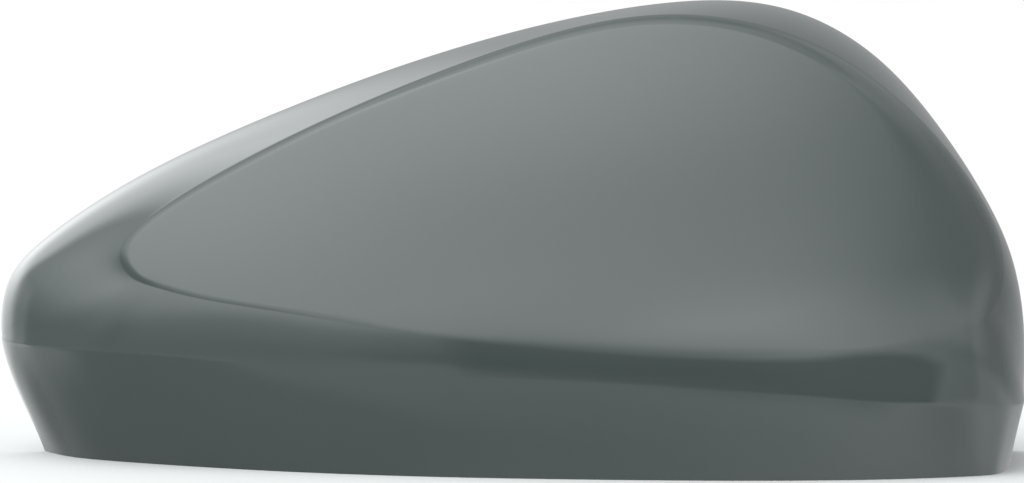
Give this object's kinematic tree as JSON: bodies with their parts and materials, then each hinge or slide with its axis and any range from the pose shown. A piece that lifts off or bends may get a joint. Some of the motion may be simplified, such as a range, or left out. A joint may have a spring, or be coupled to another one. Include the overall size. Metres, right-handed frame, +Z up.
{
  "type": "wing mirror cover",
  "caption": "Painted outer cover of a car wing mirror: a thin moulded shell, open at the rear and bottom, with a flat shield face, a shoulder crease and a skirt, and clips and pegs inside.",
  "frame": {"origin": "middle of the box round the cover, on the plane of its bottom edge", "axes": "+X along the mirror from the thin inner tip to the blunt outer end, +Y to the open rear rim, +Z up"},
  "size_m": [0.225, 0.0724, 0.0995],
  "materials": {
    "paint": "gloss grey paint under clear coat, with a slight green cast"
  },
  "bodies": {
    "root": {"mirror_cover": "paint"}
  },
  "joints": []
}
